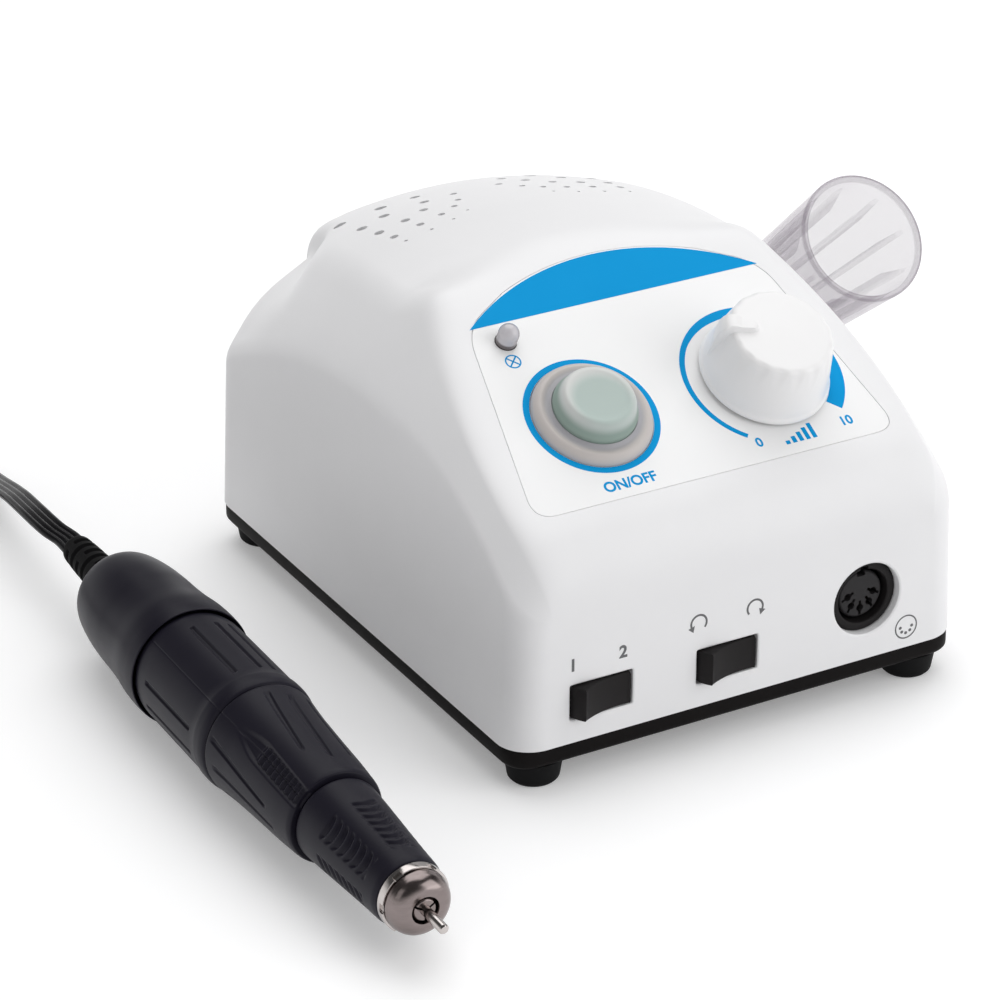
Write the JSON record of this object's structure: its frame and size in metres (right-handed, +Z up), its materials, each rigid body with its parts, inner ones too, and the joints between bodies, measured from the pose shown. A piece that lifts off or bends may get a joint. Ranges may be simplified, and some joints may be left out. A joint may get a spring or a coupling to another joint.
{
  "type": "nail drill machine",
  "caption": "Desktop nail drill: sloped-panel control unit with power button, speed knob and front switches, clear side holder, and a corded micromotor handpiece.",
  "frame": {"origin": "on the table under the middle of the control unit's footprint", "axes": "+Z up, -Y out of the front face with the switches, +X towards the side that carries the handpiece holder"},
  "size_m": [0.2841, 0.3349, 0.0963],
  "materials": {
    "housing_white": "fine satin moulding",
    "tray_grey": "satin moulding",
    "rubber_black": "matt rubber",
    "label_film": "printed film, pale with blue bands",
    "lamp_clear": "clear lens",
    "boot_grey": "soft ring",
    "button_green": "satin moulding",
    "knob_white": "semi-gloss moulding",
    "steel": "turned or pressed steel",
    "bright_steel": "polished steel",
    "board_green": "lacquered board",
    "part_dark": "moulded parts on the board",
    "sink_grey": "extruded fins",
    "core_grey": "laminated core",
    "coil_wound": "lacquered copper winding",
    "black_plastic": "satin black moulding",
    "contact_gold": "plated contacts",
    "cup_clear": "clear moulding with a smoky tint",
    "hand_black": "soft-touch black moulding",
    "magnet_grey": "ferrite",
    "cord_black": "flexible jacket",
    "tie_grey": "woven band"
  },
  "bodies": {
    "control_unit": {"upper_housing": "housing_white", "base_tray": "tray_grey", "rubber_feet": "rubber_black", "base_screws": "steel", "panel_label": "label_film", "warning_lamp": "lamp_clear", "button_boot": "boot_grey", "power_switch": "part_dark", "potentiometer": "steel", "potentiometer_nut": "bright_steel", "panel_board": "board_green", "panel_board_screws": "steel", "power_board": "board_green", "board_parts": "part_dark", "heat_sink": "sink_grey", "transformer_core": "core_grey", "transformer_coil": "coil_wound", "hand_foot_switch": "black_plastic", "direction_switch": "black_plastic", "motor_socket": "black_plastic", "socket_core": "part_dark", "socket_contacts": "contact_gold", "mains_inlet": "black_plastic", "inlet_pins": "bright_steel", "fuse_holder": "black_plastic", "pedal_jack": "black_plastic", "holder_washer": "bright_steel", "holder_screw": "bright_steel"},
    "power_button": {"power_button": "button_green"},
    "speed_knob": {"speed_knob": "knob_white", "potentiometer_shaft": "steel"},
    "hand_foot_rocker": {"hand_foot_rocker": "black_plastic"},
    "direction_rocker": {"direction_rocker": "black_plastic"},
    "handpiece_holder": {"holder_cup": "cup_clear"},
    "handpiece": {"rear_cap": "hand_black", "cord_relief": "cord_black", "motor_sleeve": "hand_black", "middle_grip": "hand_black", "motor_can": "steel", "motor_magnets": "magnet_grey", "motor_bearings": "steel", "motor_brushes": "magnet_grey", "bearing_tube": "steel", "spindle_bearings": "steel", "lock_ring": "bright_steel", "nose_cap": "bright_steel", "motor_cord": "cord_black", "cord_coil": "cord_black", "cord_tie": "tie_grey", "cord_plug": "black_plastic", "plug_shell": "bright_steel", "plug_pins": "contact_gold"},
    "chuck_sleeve": {"chuck_sleeve": "hand_black"},
    "spindle": {"rotor": "coil_wound", "commutator": "contact_gold", "spindle": "steel", "collet": "steel", "tool_shank": "bright_steel"}
  },
  "joints": [
    {"name": "button_press", "type": "slide", "parent": "control_unit", "child": "power_button", "axis": [0, 0.4848, -0.8746], "range_m": [0, 0.0025], "stiffness_N_per_m": 900},
    {"name": "knob_turn", "type": "hinge", "parent": "control_unit", "child": "speed_knob", "pos_m": [0.0239, -0.04582, 0.07727], "axis": [0, -0.4848, 0.8746], "range_deg": [-194, 71]},
    {"name": "hand_foot_rock", "type": "hinge", "parent": "control_unit", "child": "hand_foot_rocker", "pos_m": [-0.0379, -0.0731, 0.021], "axis": [0, 0, 1], "range_deg": [-22, 0]},
    {"name": "direction_rock", "type": "hinge", "parent": "control_unit", "child": "direction_rocker", "pos_m": [-0.0047, -0.0731, 0.021], "axis": [0, 0, 1], "range_deg": [-22, 0]},
    {"name": "holder_swing", "type": "hinge", "parent": "control_unit", "child": "handpiece_holder", "pos_m": [0.062, 0.02, 0.06], "axis": [1, 0, 0], "range_deg": [-50, 20]},
    {"name": "handpiece_lift", "type": "slide", "parent": "control_unit", "child": "handpiece", "axis": [0, 0, 1], "range_m": [0, 0.15]},
    {"name": "chuck_turn", "type": "hinge", "parent": "handpiece", "child": "chuck_sleeve", "pos_m": [-0.1088, -0.09997, 0.01373], "axis": [-0.0157, -0.9998, -0.0137], "range_deg": [0, 60]},
    {"name": "spindle_spin", "type": "hinge", "parent": "handpiece", "child": "spindle", "pos_m": [-0.10827, -0.06598, 0.0142], "axis": [-0.0157, -0.9998, -0.0137], "continuous": true}
  ]
}
